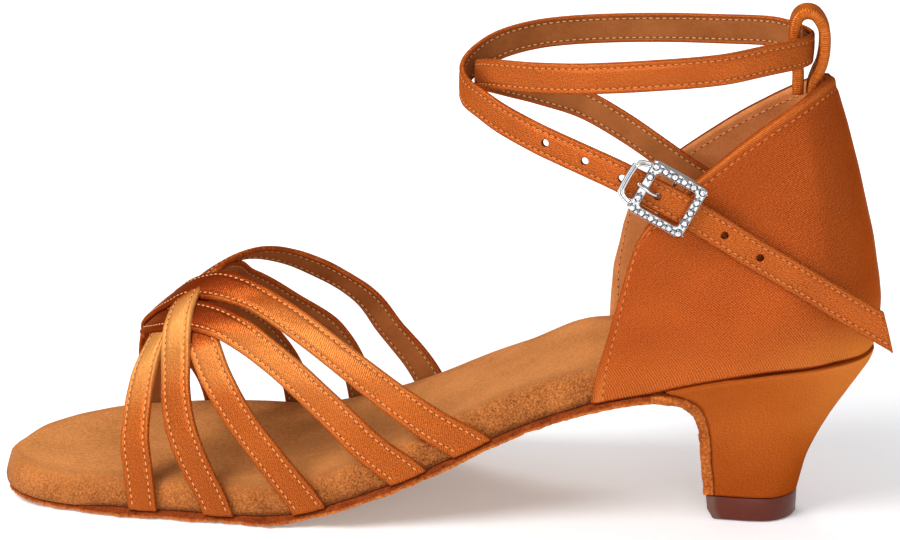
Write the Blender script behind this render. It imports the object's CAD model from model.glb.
import math

import bpy
import numpy as np
from mathutils import Matrix, Vector


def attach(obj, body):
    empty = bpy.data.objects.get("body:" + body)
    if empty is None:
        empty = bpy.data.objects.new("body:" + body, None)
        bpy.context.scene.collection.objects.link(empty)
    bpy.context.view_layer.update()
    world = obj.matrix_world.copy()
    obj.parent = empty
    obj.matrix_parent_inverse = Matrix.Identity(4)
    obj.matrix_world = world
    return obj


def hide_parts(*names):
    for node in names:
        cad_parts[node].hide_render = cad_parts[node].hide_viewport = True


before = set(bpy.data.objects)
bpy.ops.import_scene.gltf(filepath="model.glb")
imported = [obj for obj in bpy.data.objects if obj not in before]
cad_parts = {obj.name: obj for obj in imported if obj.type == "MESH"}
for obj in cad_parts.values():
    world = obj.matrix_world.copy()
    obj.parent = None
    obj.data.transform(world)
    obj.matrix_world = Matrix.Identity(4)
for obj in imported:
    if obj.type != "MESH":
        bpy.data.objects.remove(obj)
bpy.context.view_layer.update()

# Camera, floor and light
# A long lens looks at the outer side of the left shoe from a little above, rolled by a
# degree. The floor is white and the light is a soft one from the upper left.
CAMERA_TARGET = Vector((-0.086, 0.0085, 0.060))
CAMERA_AZIMUTH = math.radians(7.0)
CAMERA_ELEVATION = math.radians(16.0)
CAMERA_ROLL = math.radians(1.0)
CAMERA_DISTANCE = 0.65
CAMERA_LENS = 94.9


def add_object(name, data):
    made = bpy.data.objects.new(name, data)
    bpy.context.scene.collection.objects.link(made)
    return made


def feed(tree, target, inputs):
    # Sets a node's inputs to values, or links them to (node, output) pairs. A bare node
    # stands for its first output.
    for name, value in inputs.items():
        source, output = value if isinstance(value, tuple) and len(value) == 2 else (value, 0)
        if isinstance(source, bpy.types.Node):
            tree.links.new(source.outputs[output], target.inputs[name])
        else:
            target.inputs[name].default_value = value


def place_nodes(tree, kind, inputs=None, **settings):
    # Adds one shader or geometry node, sets its properties and feeds its inputs.
    made = tree.nodes.new(kind)
    for key, value in settings.items():
        setattr(made, key, value)
    feed(tree, made, inputs or {})
    return made


def aim_camera():
    level = math.cos(CAMERA_ELEVATION)
    backward = Vector((math.sin(CAMERA_AZIMUTH) * level, -math.cos(CAMERA_AZIMUTH) * level,
                       math.sin(CAMERA_ELEVATION)))
    across = Vector((0.0, 0.0, 1.0)).cross(backward).normalized()
    upward = backward.cross(across)
    right = across * math.cos(CAMERA_ROLL) + upward * math.sin(CAMERA_ROLL)
    up = upward * math.cos(CAMERA_ROLL) - across * math.sin(CAMERA_ROLL)
    turn = Matrix((right, up, backward)).transposed().to_4x4()
    camera = add_object("camera", bpy.data.cameras.new("camera"))
    camera.data.lens = CAMERA_LENS
    camera.matrix_world = Matrix.Translation(CAMERA_TARGET + CAMERA_DISTANCE * backward) @ turn
    bpy.context.scene.camera = camera


def soft_light(name, place, target, size, power):
    lamp = bpy.data.lights.new(name, "AREA")
    lamp.shape = "DISK"
    lamp.size = size
    lamp.energy = power
    made = add_object(name, lamp)
    made.location = place
    made.rotation_euler = (Vector(target) - Vector(place)).to_track_quat("-Z", "Y").to_euler()


aim_camera()
bpy.context.scene.view_settings.view_transform = "Standard"
soft_light("key_light", (-0.55, -0.50, 0.68), (-0.09, 0.0, 0.03), 0.50, 8.0)
soft_light("front_light", (0.25, -0.95, 0.22), (-0.06, 0.0, 0.05), 0.60, 2.6)
soft_light("rim_light", (-0.20, 0.60, 0.75), (-0.09, 0.0, 0.04), 0.40, 2.2)
world = bpy.data.worlds.new("studio")
world.use_nodes = True
feed(world.node_tree, world.node_tree.nodes["Background"],
     {"Color": (0.98, 0.99, 1.0, 1.0), "Strength": 0.44})
bpy.context.scene.world = world

# The floor glows a little, more so away from the shoe, so that it turns into the backdrop.
FLOOR_HALF = 4.0
FLOOR_HEIGHT = -0.0002
floor_mesh = bpy.data.meshes.new("floor")
floor_mesh.from_pydata([(a * FLOOR_HALF, b * FLOOR_HALF, FLOOR_HEIGHT) for a, b in (
    (-1, -1), (1, -1), (1, 1), (-1, 1))], [], [(0, 1, 2, 3)])
floor_paint = bpy.data.materials.new("floor_paint")
floor_paint.use_nodes = True
floor_tree = floor_paint.node_tree
floor_place = place_nodes(floor_tree, "ShaderNodeTexCoord")
floor_away = place_nodes(floor_tree, "ShaderNodeVectorMath",
                         {0: (floor_place, "Object"), 1: (-0.09, 0.0, 0.0)}, operation="DISTANCE")
floor_glow = place_nodes(floor_tree, "ShaderNodeMapRange", {
    "Value": (floor_away, "Value"), "From Min": 0.13, "From Max": 0.45, "To Min": 0.17, "To Max": 0.60})
feed(floor_tree, floor_tree.nodes["Principled BSDF"], {
    "Base Color": (0.90, 0.91, 0.93, 1.0), "Roughness": 0.85, "Emission Color": (1.0, 1.0, 1.0, 1.0),
    "Emission Strength": (floor_glow, "Result")})
floor_mesh.materials.append(floor_paint)
add_object("floor", floor_mesh)

# Footbed
# A shaped board under soft foam, wrapped in tan microfibre suede that turns down over
# the edge. The wrap's side shows its grain, and the seat narrows under the counter.
SOLE_LENGTH = 0.234
BALL_WIDTH = 0.075
HEEL_HEIGHT = 0.0486
COLLAR_HEIGHT = 0.072
INSTEP_HEIGHT = 0.0668
HEEL_REAR = 0.029
FOOTBED_THICKNESS = 0.008
OUTSOLE_THICKNESS = 0.0022
TOE_OVERHANG = 0.0010
ARCH_RISE = 0.0026
WALL = 0.002
STRAP_THICKNESS = 0.0016
GAP = 0.0003

# Outline seen from above.
# Columns: share of the length from the heel, outer and inner half width as shares of
# the ball width.
OUTLINE = (
    (0.997, 0.245, -0.225),
    (0.995, 0.288, -0.180),
    (0.990, 0.333, -0.130),
    (0.984, 0.374, -0.050),
    (0.974, 0.412, 0.045),
    (0.958, 0.443, 0.143),
    (0.935, 0.466, 0.240),
    (0.902, 0.482, 0.335),
    (0.850, 0.494, 0.430),
    (0.786, 0.500, 0.490),
    (0.722, 0.503, 0.512),
    (0.658, 0.500, 0.513),
    (0.594, 0.491, 0.486),
    (0.530, 0.464, 0.442),
    (0.466, 0.427, 0.397),
    (0.402, 0.387, 0.360),
    (0.338, 0.360, 0.344),
    (0.274, 0.349, 0.336),
    (0.209, 0.351, 0.336),
    (0.145, 0.355, 0.341),
    (0.103, 0.347, 0.341),
    (0.068, 0.320, 0.320),
    (0.043, 0.271, 0.271),
    (0.021, 0.200, 0.200),
    (0.009, 0.133, 0.133),
    (0.001, 0.053, 0.053),
)

# Height of the joint under the footbed.
# Columns: share of the length from the heel, share of the heel height above the outsole.
JOINT = (
    (1.000, 0.067),
    (0.979, 0.041),
    (0.953, 0.018),
    (0.919, 0.004),
    (0.885, 0.000),
    (0.688, 0.000),
    (0.654, 0.015),
    (0.624, 0.052),
    (0.594, 0.101),
    (0.560, 0.166),
    (0.521, 0.246),
    (0.483, 0.336),
    (0.453, 0.414),
    (0.423, 0.491),
    (0.389, 0.569),
    (0.359, 0.631),
    (0.325, 0.688),
    (0.291, 0.735),
    (0.256, 0.778),
    (0.227, 0.821),
    (0.197, 0.864),
    (0.162, 0.907),
    (0.124, 0.946),
    (0.086, 0.974),
    (0.043, 0.994),
    (0.000, 1.000),
)


def smooth(table, column=1, flowing=False):
    # Cubic through a table's rows, read by the first column. It never overshoots its rows
    # unless it is flowing.
    rows = np.array(table if table[0][0] < table[-1][0] else table[::-1])
    keys, values = rows[:, 0], rows[:, column]
    spans = np.diff(keys)
    slopes = np.diff(values) / spans
    tangents = np.concatenate((slopes[:1], slopes[1:], slopes[-1:]))
    before, after = slopes[:-1], slopes[1:]
    if flowing:
        tangents[1:-1] = (before * spans[1:] + after * spans[:-1]) / (spans[1:] + spans[:-1])
    else:
        same = before * after > 0.0
        tangents[1:-1] = np.where(same, 2.0 * before * after / np.where(same, before + after, 1.0), 0.0)

    def read(key):
        key = np.clip(key, keys[0], keys[-1])
        i = np.clip(np.searchsorted(keys, key, side="right") - 1, 0, len(keys) - 2)
        step = keys[i + 1] - keys[i]
        t = (key - keys[i]) / step
        low = (1.0 + 2.0 * t) * (1.0 - t) ** 2 * values[i] + t * (1.0 - t) ** 2 * step * tangents[i]
        high = t * t * (3.0 - 2.0 * t) * values[i + 1] + t * t * (t - 1.0) * step * tangents[i + 1]
        return low + high

    return read


joint_share = smooth(JOINT)
outer_share = smooth(OUTLINE, 1)
inner_share = smooth(OUTLINE, 2)


def along(share):
    return HEEL_REAR - share * SOLE_LENGTH


def share_at(x):
    return (HEEL_REAR - x) / SOLE_LENGTH


def joint(x):
    return OUTSOLE_THICKNESS + (HEEL_HEIGHT - OUTSOLE_THICKNESS) * joint_share(share_at(x))


def outer_half(x):
    return BALL_WIDTH * outer_share(share_at(x))


def inner_half(x):
    return BALL_WIDTH * inner_share(share_at(x))


SEAT_FRONT = along(0.313)
BARE_TOE = along(0.846)


def ease(value):
    t = np.clip(value, 0.0, 1.0)
    return t * t * (3.0 - 2.0 * t)


def bare(x):
    # 1 in front of the toe straps, 0 where they are fixed.
    return ease((BARE_TOE - x) / (0.06 * SOLE_LENGTH))


def bed_inset(x):
    # Room for the toe straps in front, and for the counter wall behind.
    t = ease((x - SEAT_FRONT + 0.006) / 0.006)
    room = (STRAP_THICKNESS + GAP) * (1.0 - bare(x))
    return room + t * (WALL + 3.0 * GAP - room)


def arch_rise(x):
    # How much the inner edge stands above the outer one in front of the heel.
    share = share_at(x)
    return ARCH_RISE * ease((0.39 - share) / 0.08) * ease((share - 0.14) / 0.10)


def inset_half(half, x, inset):
    # Half width of the outline moved inwards, true round the toe and the heel too.
    ahead = np.where(x > -0.5 * SOLE_LENGTH, 1.0, -1.0)
    return np.min([half(x + ahead * a * inset) - b * inset
                   for a, b in ((0.0, 1.0), (0.4, 0.92), (0.71, 0.71), (0.92, 0.4))], axis=0)


def bed_thick(x):
    t = np.clip((x - SEAT_FRONT) / 0.03, 0.0, 1.0)
    arched = np.exp(-((x - along(0.42)) / 0.025) ** 2)
    return FOOTBED_THICKNESS * (1.0 + 0.12 * arched - 0.4 * t)


def maths(tree, operation, *values):
    # A Math node whose inputs are numbers or nodes.
    return place_nodes(tree, "ShaderNodeMath", dict(enumerate(values)), operation=operation)


def blend(tree, factor, low, high):
    # A Mix node between two colours, each given as four numbers or as a (node, output) pair.
    return place_nodes(tree, "ShaderNodeMix", {"Factor": factor, 6: low, 7: high}, data_type="RGBA")


def new_group(name, inputs, outputs, kind="ShaderNodeTree"):
    tree = bpy.data.node_groups.new(name, kind)
    for title, kind, value in inputs:
        made = tree.interface.new_socket(title, in_out="INPUT", socket_type=kind)
        if value is not None:
            made.default_value = value
    for title, kind in outputs:
        tree.interface.new_socket(title, in_out="OUTPUT", socket_type=kind)
    return tree, tree.nodes.new("NodeGroupInput"), tree.nodes.new("NodeGroupOutput")


def suede_nap():
    # Brushed patches, a fine grain of fibre ends and their relief, in object space.
    tree, entry, leave = new_group(
        "suede_nap",
        (("Place", "NodeSocketVector", None), ("Grain Size", "NodeSocketFloat", 0.0005),
         ("Patch Size", "NodeSocketFloat", 0.012), ("Light", "NodeSocketColor", None),
         ("Dark", "NodeSocketColor", None), ("Contrast", "NodeSocketFloat", 0.5)),
        (("Color", "NodeSocketColor"), ("Height", "NodeSocketFloat")))
    noises = []
    for size, detail, roughness in (("Grain Size", 3.0, 0.65), ("Patch Size", 4.0, 0.6)):
        scale = maths(tree, "DIVIDE", 1.0, (entry, size))
        noises.append(place_nodes(tree, "ShaderNodeTexNoise", {
            "Vector": (entry, "Place"), "Scale": scale, "Detail": detail, "Roughness": roughness}))
    grain, patch = noises
    fine = maths(tree, "SUBTRACT", (grain, "Fac"), 0.5)
    broad = maths(tree, "SUBTRACT", (patch, "Fac"), 0.5)
    fine = maths(tree, "MULTIPLY", fine, (entry, "Contrast"))
    broad = maths(tree, "MULTIPLY", broad, 1.4)
    both = maths(tree, "ADD", fine, broad)
    level = maths(tree, "ADD", both, 0.5)
    level.use_clamp = True
    mix = blend(tree, level, (entry, "Dark"), (entry, "Light"))
    feed(tree, leave, {"Color": (mix, 2), "Height": (grain, "Fac")})
    return tree


NAP = suede_nap()
SUEDE_GLOSS = (1.0, 0.6, 0.35)


def new_material(name, roughness, specular=0.5, metallic=0.0, sheen=0.0, sheen_tint=None,
                 gloss_tint=(1.0, 1.0, 1.0)):
    made = bpy.data.materials.new(name)
    made.use_nodes = True
    shader = made.node_tree.nodes["Principled BSDF"]
    feed(made.node_tree, shader, {
        "Roughness": roughness, "Specular IOR Level": specular, "Specular Tint": (*gloss_tint, 1.0),
        "Metallic": metallic, "Sheen Weight": sheen, "Sheen Roughness": 0.5})
    if sheen_tint:
        shader.inputs["Sheen Tint"].default_value = (*sheen_tint, 1.0)
    return made, made.node_tree, shader


def bumped(tree, shader, height, depth):
    bump = place_nodes(tree, "ShaderNodeBump", {"Distance": depth, "Strength": 1.0, "Height": height})
    feed(tree, shader, {"Normal": (bump, "Normal")})


def nap_of(tree, grain, patch, contrast, light, dark):
    place = place_nodes(tree, "ShaderNodeTexCoord")
    return place_nodes(tree, "ShaderNodeGroup", {
        "Place": (place, "Object"), "Grain Size": grain, "Patch Size": patch, "Contrast": contrast,
        "Light": (*light, 1.0), "Dark": (*dark, 1.0)}, node_tree=NAP)


def suede(name, light, dark, grain, patch, contrast, depth, sheen):
    made, tree, shader = new_material(name, 0.95, specular=0.15, sheen=sheen, sheen_tint=light,
                                      gloss_tint=SUEDE_GLOSS)
    nap = nap_of(tree, grain, patch, contrast, light, dark)
    feed(tree, shader, {"Base Color": (nap, "Color")})
    bumped(tree, shader, (nap, "Height"), depth)
    return made


def mark(mesh, name, values):
    # One number at each point of the mesh, for its material to read.
    mesh.attributes.new(name, "FLOAT", "POINT").data.foreach_set("value", np.ravel(values))


def cloth_object(name, grid, materials, cloth=None, bands=None, caps=True):
    # Mesh over rows of points that each close round, right side out. Cloth holds the same
    # rows in metres over the flat cloth, bands the material of each column of faces.
    rows, columns = grid.shape[:2]
    i, j = np.meshgrid(np.arange(rows - 1), np.arange(columns), indexing="ij")
    n = (j + 1) % columns
    corners = ((i, j), (i, n), (i + 1, n), (i + 1, j))
    faces = np.stack([a * columns + b for a, b in corners], -1).reshape(-1, 4).tolist()
    if caps:
        last = (rows - 1) * columns
        faces += [list(range(columns))[::-1], list(range(last, last + columns))]
    mesh = bpy.data.meshes.new(name)
    mesh.from_pydata(grid.reshape(-1, 3).tolist(), [], faces)
    for material in materials:
        mesh.materials.append(material)
    if cloth is not None:
        flat = np.zeros((len(mesh.loops), 2), np.float32)
        quads = np.stack([cloth[a, b] for a, b in ((i, j), (i, j + 1), (i + 1, j + 1), (i + 1, j))],
                         2).reshape(-1, 2)
        flat[:len(quads)] = quads
        mesh.uv_layers.new(name="cloth").data.foreach_set("uv", flat.ravel())
    index = np.zeros(len(mesh.polygons), np.int32)
    if bands is not None:
        index[:i.size] = np.broadcast_to(bands, i.shape).ravel()
    mesh.polygons.foreach_set("material_index", index)
    mesh.polygons.foreach_set("use_smooth", [True] * len(mesh.polygons))
    face_outwards(mesh)
    return add_object(name, mesh)


def face_outwards(mesh):
    points = np.empty(len(mesh.vertices) * 3)
    mesh.vertices.foreach_get("co", points)
    points = points.reshape(-1, 3)
    mesh.calc_loop_triangles()
    corner = np.empty(len(mesh.loop_triangles) * 3, np.int32)
    mesh.loop_triangles.foreach_get("vertices", corner)
    a, b, c = (points[corner[k::3]] for k in range(3))
    if np.einsum("ij,ij->i", a, np.cross(b, c)).sum() < 0.0:
        mesh.flip_normals()


def finish_piece(piece, slot, *nodes):
    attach(piece, "root")
    if nodes:
        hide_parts(*nodes)


def shaded_suede(name, attribute, first, second, depth, sheen):
    # Two naps of one suede, the second fading in where the attribute grows. Each nap is
    # given as grain size, patch size, contrast, light colour and dark colour.
    made, tree, shader = new_material(name, 0.95, specular=0.12, sheen=sheen,
                                      sheen_tint=(0.9, 0.5, 0.22), gloss_tint=SUEDE_GLOSS)
    near, far = nap_of(tree, *first), nap_of(tree, *second)
    where = place_nodes(tree, "ShaderNodeAttribute", attribute_name=attribute)
    ragged = maths(tree, "MULTIPLY_ADD", (far, "Height"), 0.9, -0.45)
    fade = maths(tree, "ADD", (where, "Fac"), ragged)
    fade.use_clamp = True
    mix = blend(tree, fade, (near, "Color"), (far, "Color"))
    feed(tree, shader, {"Base Color": (mix, 2)})
    bumped(tree, shader, (far, "Height"), depth)
    return made


BED_TOP_NAP = (0.0008, 0.022, 2.0, (0.74, 0.280, 0.074), (0.40, 0.125, 0.026))
BED_SIDE_NAP = (0.00050, 0.012, 3.0, (0.62, 0.208, 0.052), (0.18, 0.042, 0.008))
footbed_suede = shaded_suede("footbed_suede", "side", BED_TOP_NAP, BED_SIDE_NAP, 0.00055, 0.25)
BED_ROLL = 0.0034
TOE = along(OUTLINE[0][0])
REAR = along(OUTLINE[-1][0])
bed_x = TOE + 0.0002 + (REAR - TOE - 0.0028) * (0.5 - 0.5 * np.cos(np.pi * np.linspace(0.0, 1.0, 241)))


def unit(rows):
    return rows / np.linalg.norm(rows, axis=-1, keepdims=True)


def bed_grid():
    # Rows of points round the footbed, and how much of each is the grainy side.
    turns = np.linspace(0.0, 0.5 * np.pi, 11)
    rise = (joint(bed_x + 0.001) - joint(bed_x - 0.001)) / 0.002
    up = unit(np.stack([-rise, np.zeros_like(rise), np.ones_like(rise)], 1))
    outer = inset_half(outer_half, bed_x, bed_inset(bed_x))
    inner = inset_half(inner_half, bed_x, bed_inset(bed_x))
    nose = np.clip((bed_x - TOE) / 0.005, 0.0, 1.0)
    thick = bed_thick(bed_x) * (0.62 + 0.38 * np.sqrt(nose * (2.0 - nose)))
    middle = 0.5 * (inner - outer)
    half = np.maximum(0.5 * (inner + outer), 0.0012)
    more = arch_rise(bed_x)
    rows, sides = [], []
    for k in range(len(bed_x)):
        h, t = half[k], thick[k]
        r = min(BED_ROLL, 0.5 * h)
        drop = min(BED_ROLL, 0.5 * t)
        left = [(-h + 0.0003, 0.0, 1.0), (-h, 0.35 * (t - drop), 1.0),
                (-h - 0.0001, 0.7 * (t - drop), 1.0)]
        left += [(-h + r - r * math.cos(a), t - drop + drop * math.sin(a), 1.0 - 0.3 * a)
                 for a in turns]
        across = [(s * (h - r), t - 0.0004 * (1.0 - s * s) * min(h / 0.03, 1.0),
                   0.53 * float(ease(1.0 - (1.0 - abs(s)) * (h - r) / 0.005)))
                  for s in np.linspace(-1.0, 1.0, 41)[1:-1]]
        right = [(-y, z, side) for y, z, side in left[::-1]]
        under = [(0.5 * h, 0.0, 1.0), (0.0, 0.0, 1.0), (-0.5 * h, 0.0, 1.0)]
        section = np.array(left + across + right + under)
        tilt = more[k] * ease(0.5 + 0.5 * section[:, 0] / h) * section[:, 1] / t
        z = section[:, 1] + tilt
        rows.append(np.stack([bed_x[k] + up[k, 0] * z, middle[k] + section[:, 0],
                              joint(bed_x[k]) + up[k, 2] * z], 1))
        worn_arch = 0.24 * ease((0.66 - share_at(bed_x[k])) / 0.10)
        sides.append(section[:, 2] + worn_arch)
    return np.array(rows), np.array(sides)


bed_points, bed_sides = bed_grid()
footbed = cloth_object("footbed", bed_points, [footbed_suede])
mark(footbed.data, "side", bed_sides)
finish_piece(footbed, "insole", "insole")

# Outsole
# One piece of split suede glued on under the footbed. It runs on along the arch and down
# the breast of the heel, and its cut edge is left raw, so fibres stand out all along it.
LIFT_THICKNESS = 0.0065
LIFT_TOP = LIFT_THICKNESS + GAP
SEAT_HALF = 0.35 * BALL_WIDTH
BREAST_SOLE_THICKNESS = 0.0029
SOLE_EDGE_FUZZ = 0.0013
FIBRE_COUNT = 19000

# Heel block from the top lift to the seat.
# Columns: share of the height, breast and back as shares of the length, width as a
# share of the seat outline.
HEEL = (
    (0.000, 0.171, 0.077, 0.452),
    (0.087, 0.172, 0.074, 0.458),
    (0.220, 0.175, 0.069, 0.488),
    (0.370, 0.177, 0.059, 0.545),
    (0.540, 0.180, 0.044, 0.630),
    (0.710, 0.187, 0.026, 0.745),
    (0.830, 0.198, 0.013, 0.845),
    (0.920, 0.212, 0.004, 0.930),
    (0.970, 0.223, 0.001, 0.980),
    (1.000, 0.230, 0.000, 1.000),
)
heel_breast = smooth(HEEL, 1)
heel_back = smooth(HEEL, 2)
heel_width = smooth(HEEL, 3)


def heel_point(share, x):
    return LIFT_TOP + share * (joint(x) - GAP - LIFT_TOP)


def sole_stations():
    # Middle line of the sole's upper face with both half widths, the drop and the thickness.
    tip = TOE + TOE_OVERHANG
    x = np.concatenate((tip + 0.021 * np.linspace(0.0, 1.0, 40) ** 2.2,
                        np.linspace(tip + 0.021, SEAT_FRONT + 0.034 * SOLE_LENGTH, 110)[1:]))
    inset = TOE_OVERHANG * bare(x)
    flat = np.stack([x, joint(x) - GAP, inset_half(outer_half, x, inset),
                     inset_half(inner_half, x, inset), np.zeros_like(x),
                     np.full_like(x, OUTSOLE_THICKNESS - GAP)], 1)
    share = np.linspace(0.92, 0.0, 44)
    x = along(heel_breast(share))
    width = SEAT_HALF * heel_width(share) + 0.0003
    low = np.stack([x, heel_point(share, x), width, width, np.full_like(x, 0.0001),
                    np.full_like(x, BREAST_SOLE_THICKNESS)], 1)
    low[-1, 1] += GAP
    return np.concatenate((flat, low))


def blend_turn(stations, first, count):
    # Rounds the turn from the arch into the breast with a smooth run of stations.
    a, b = stations[first - count], stations[first + count]
    ta = stations[first - count] - stations[first - count - 1]
    tb = stations[first + count + 1] - stations[first + count]
    span = np.linalg.norm((b - a)[:2])
    ta = ta / np.linalg.norm(ta[:2]) * span
    tb = tb / np.linalg.norm(tb[:2]) * span
    t = np.linspace(0.0, 1.0, 2 * count + 1)[1:-1, None]
    curve = ((1 + 2 * t) * (1 - t) ** 2 * a + t * (1 - t) ** 2 * ta
             + t * t * (3 - 2 * t) * b + t * t * (t - 1) * tb)
    return np.concatenate((stations[:first - count + 1], curve, stations[first + count:]))


stations = blend_turn(sole_stations(), 149, 8)
fine = np.linspace(0.0, len(stations) - 1.0, 3 * len(stations))
stations = np.stack([np.interp(fine, np.arange(len(stations)), stations[:, k]) for k in range(6)], 1)
ahead = unit(np.gradient(stations[:, :2], axis=0))
sole_up = np.stack([-ahead[:, 1], ahead[:, 0]], 1)
# How ragged the cut edge is from point to point, and in slower waves.
# Columns: outer edge, inner edge, underside, upper rim.
RAGGED_FINE = (0.00016, 0.00016, 0.00005, 0.0001)
RAGGED_SLOW = (0.00030, 0.00030, 0.00008, 0.00030)
rough = np.random.default_rng(7)
ragged = rough.normal(0.0, 1.0, (len(stations), 4)) * RAGGED_FINE
ragged[1:] = 0.6 * ragged[1:] + 0.4 * ragged[:-1]
slow = np.arange(0, len(stations) + 6, 6)
for k, height in enumerate(RAGGED_SLOW):
    ragged[:, k] += np.interp(np.arange(len(stations)), slow, rough.normal(0.0, height, len(slow)))
sole_rows = []
for k, (x, z, outer, inner, drop, thick) in enumerate(stations):
    row = []
    near, far = outer + ragged[k, 0], inner + ragged[k, 1]
    low, high = thick + ragged[k, 2], ragged[k, 3]
    middle, quarter = 0.5 * (inner - outer), 0.25 * (inner + outer)
    for y, depth in ((0.0003 - near, -0.2 * high), (-near - 0.0002, 0.0004), (-near, 0.5 * thick),
                     (0.0001 - near, low - 0.0004), (0.0009 - near, low), (middle - quarter, thick),
                     (middle, thick), (middle + quarter, thick), (far - 0.0009, low),
                     (far - 0.0001, low - 0.0004), (far, 0.5 * thick), (far + 0.0002, 0.0004),
                     (far - 0.0003, -0.2 * high), (middle + quarter, 0.0), (middle, 0.0),
                     (middle - quarter, 0.0)):
        fall = max(depth, 0.0) + drop
        row.append((x - sole_up[k, 0] * fall, y, z - sole_up[k, 1] * fall))
    sole_rows.append(row)
EDGE_TOP_NAP = (0.0009, 0.006, 1.8, (0.36, 0.064, 0.012), (0.11, 0.014, 0.003))
EDGE_LOW_NAP = (0.0008, 0.005, 2.2, (0.84, 0.260, 0.050), (0.28, 0.050, 0.009))
edge_suede = shaded_suede("sole_edge_suede", "low", EDGE_TOP_NAP, EDGE_LOW_NAP, 0.0006, 0.1)
ground_suede = suede("sole_suede", (0.50, 0.27, 0.13), (0.33, 0.16, 0.07), grain=0.0007,
                     patch=0.02, contrast=0.9, depth=0.0003, sheen=0.3)
sole_bands = np.array([0] * 4 + [1] * 4 + [0] * 8, np.int32)
outsole = cloth_object("sole", np.array(sole_rows), [edge_suede, ground_suede], bands=sole_bands)
edge_low = np.tile([0.0, -0.2, 0.4, 1.2, 1.0, 1.0, 1.0, 1.0, 1.0, 1.2, 0.4, -0.2, 0.0, 0.0, 0.0, 0.0],
                   (len(stations), 1))
edge_low[stations[:, 5] > 0.0024] = 0.66
mark(outsole.data, "low", edge_low)
finish_piece(outsole, "outsole", "outsole")


def geometry_tree(name, inputs):
    shape = ("Geometry", "NodeSocketGeometry")
    return new_group(name, ((*shape, None),) + inputs, (shape,), "GeometryNodeTree")


def grow(piece, tree, **inputs):
    # Runs a geometry tree on the piece and keeps its result as a plain mesh.
    modifier = piece.modifiers.new(tree.name, "NODES")
    modifier.node_group = tree
    for item in tree.interface.items_tree:
        title = item.name.replace(" ", "_").lower()
        if item.in_out == "INPUT" and title in inputs:
            modifier[item.identifier] = inputs[title]
    graph = bpy.context.evaluated_depsgraph_get()
    made = bpy.data.meshes.new_from_object(piece.evaluated_get(graph))
    piece.modifiers.clear()
    piece.data = made
    return piece


def painted(tree, source, socket, entry, slot):
    # Real geometry out of instances, in the material that the named input gives.
    real = place_nodes(tree, "GeometryNodeRealizeInstances", {"Geometry": (source, socket)})
    return place_nodes(tree, "GeometryNodeSetMaterial", {
        "Geometry": (real, "Geometry"), "Material": (entry, slot)})


def fibre_tree():
    # Short tapered fibres scattered over a face area, leaning at random.
    tree, entry, leave = geometry_tree("raw_edge_fibres", (
        ("Density", "NodeSocketFloat", 1.0), ("Length", "NodeSocketFloat", 0.001),
        ("Width", "NodeSocketFloat", 0.0001), ("Fibre", "NodeSocketMaterial", None)))
    scatter = place_nodes(tree, "GeometryNodeDistributePointsOnFaces", {
        "Mesh": (entry, "Geometry"), "Density": (entry, "Density"), "Seed": 11})
    fibre = place_nodes(tree, "GeometryNodeMeshCone", {
        "Vertices": 3, "Radius Bottom": (entry, "Width"), "Depth": (entry, "Length")})
    lean = place_nodes(tree, "FunctionNodeRandomValue", {
        0: (-0.75, -0.75, -0.75), 1: (0.75, 0.75, 0.75), "Seed": 5}, data_type="FLOAT_VECTOR")
    as_turn = place_nodes(tree, "FunctionNodeEulerToRotation", {0: lean})
    turn = place_nodes(tree, "FunctionNodeRotateRotation", {
        "Rotation": (scatter, "Rotation"), "Rotate By": as_turn}, rotation_space="LOCAL")
    size = place_nodes(tree, "FunctionNodeRandomValue", {2: 0.35, 3: 1.25, "Seed": 3}, data_type="FLOAT")
    place = place_nodes(tree, "GeometryNodeInstanceOnPoints", {
        "Points": (scatter, "Points"), "Instance": (fibre, "Mesh"), "Rotation": (turn, "Rotation"),
        "Scale": (size, 1)})
    feed(tree, leave, {"Geometry": painted(tree, place, "Instances", entry, "Fibre")})
    return tree


FIBRE_DARK_NAP = (0.0012, 0.004, 1.8, (0.34, 0.060, 0.012), (0.10, 0.013, 0.003))
FIBRE_NAP = (0.0012, 0.004, 1.8, (0.86, 0.270, 0.050), (0.34, 0.064, 0.011))
fibre_suede = shaded_suede("sole_fibre", "low", FIBRE_DARK_NAP, FIBRE_NAP, 0.0001, 0.1)
# Columns of the section that run down the raw edge on the outer and the inner side.
EDGE_COLUMNS = (slice(1, 6), slice(7, 12))


def edge_strips():
    # The raw edge's faces alone, on both sides and across the toe, to grow fibres on.
    rows = np.array(sole_rows)
    strips = [rows[:, part] for part in EDGE_COLUMNS]
    points = np.concatenate([s.reshape(-1, 3) for s in strips])
    faces = []
    for number, strip in enumerate(strips):
        width = strip.shape[1]
        base = number * strip.shape[0] * width
        for k in range(strip.shape[0] - 1):
            for m in range(width - 1):
                if 1 <= m + 1 - number <= width - 2:
                    a = base + k * width + m
                    faces.append((a, a + width, a + width + 1, a + 1))
    return points, faces


fuzz_points, fuzz_faces = edge_strips()
fuzz_mesh = bpy.data.meshes.new("sole_fuzz")
fuzz_mesh.from_pydata(fuzz_points.tolist(), [], fuzz_faces)
mark(fuzz_mesh, "low", np.concatenate([edge_low[:, part].ravel() for part in EDGE_COLUMNS]))
fuzz = add_object("sole_fuzz", fuzz_mesh)
edge_area = sum(face.area for face in fuzz_mesh.polygons)
grow(fuzz, fibre_tree(), density=FIBRE_COUNT / edge_area, length=SOLE_EDGE_FUZZ, width=0.00011,
     fibre=fibre_suede)
finish_piece(fuzz, "outsole")

# Heel block
# A moulded block covered in the same satin as the upper, drawn tight down to the lift.


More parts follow.
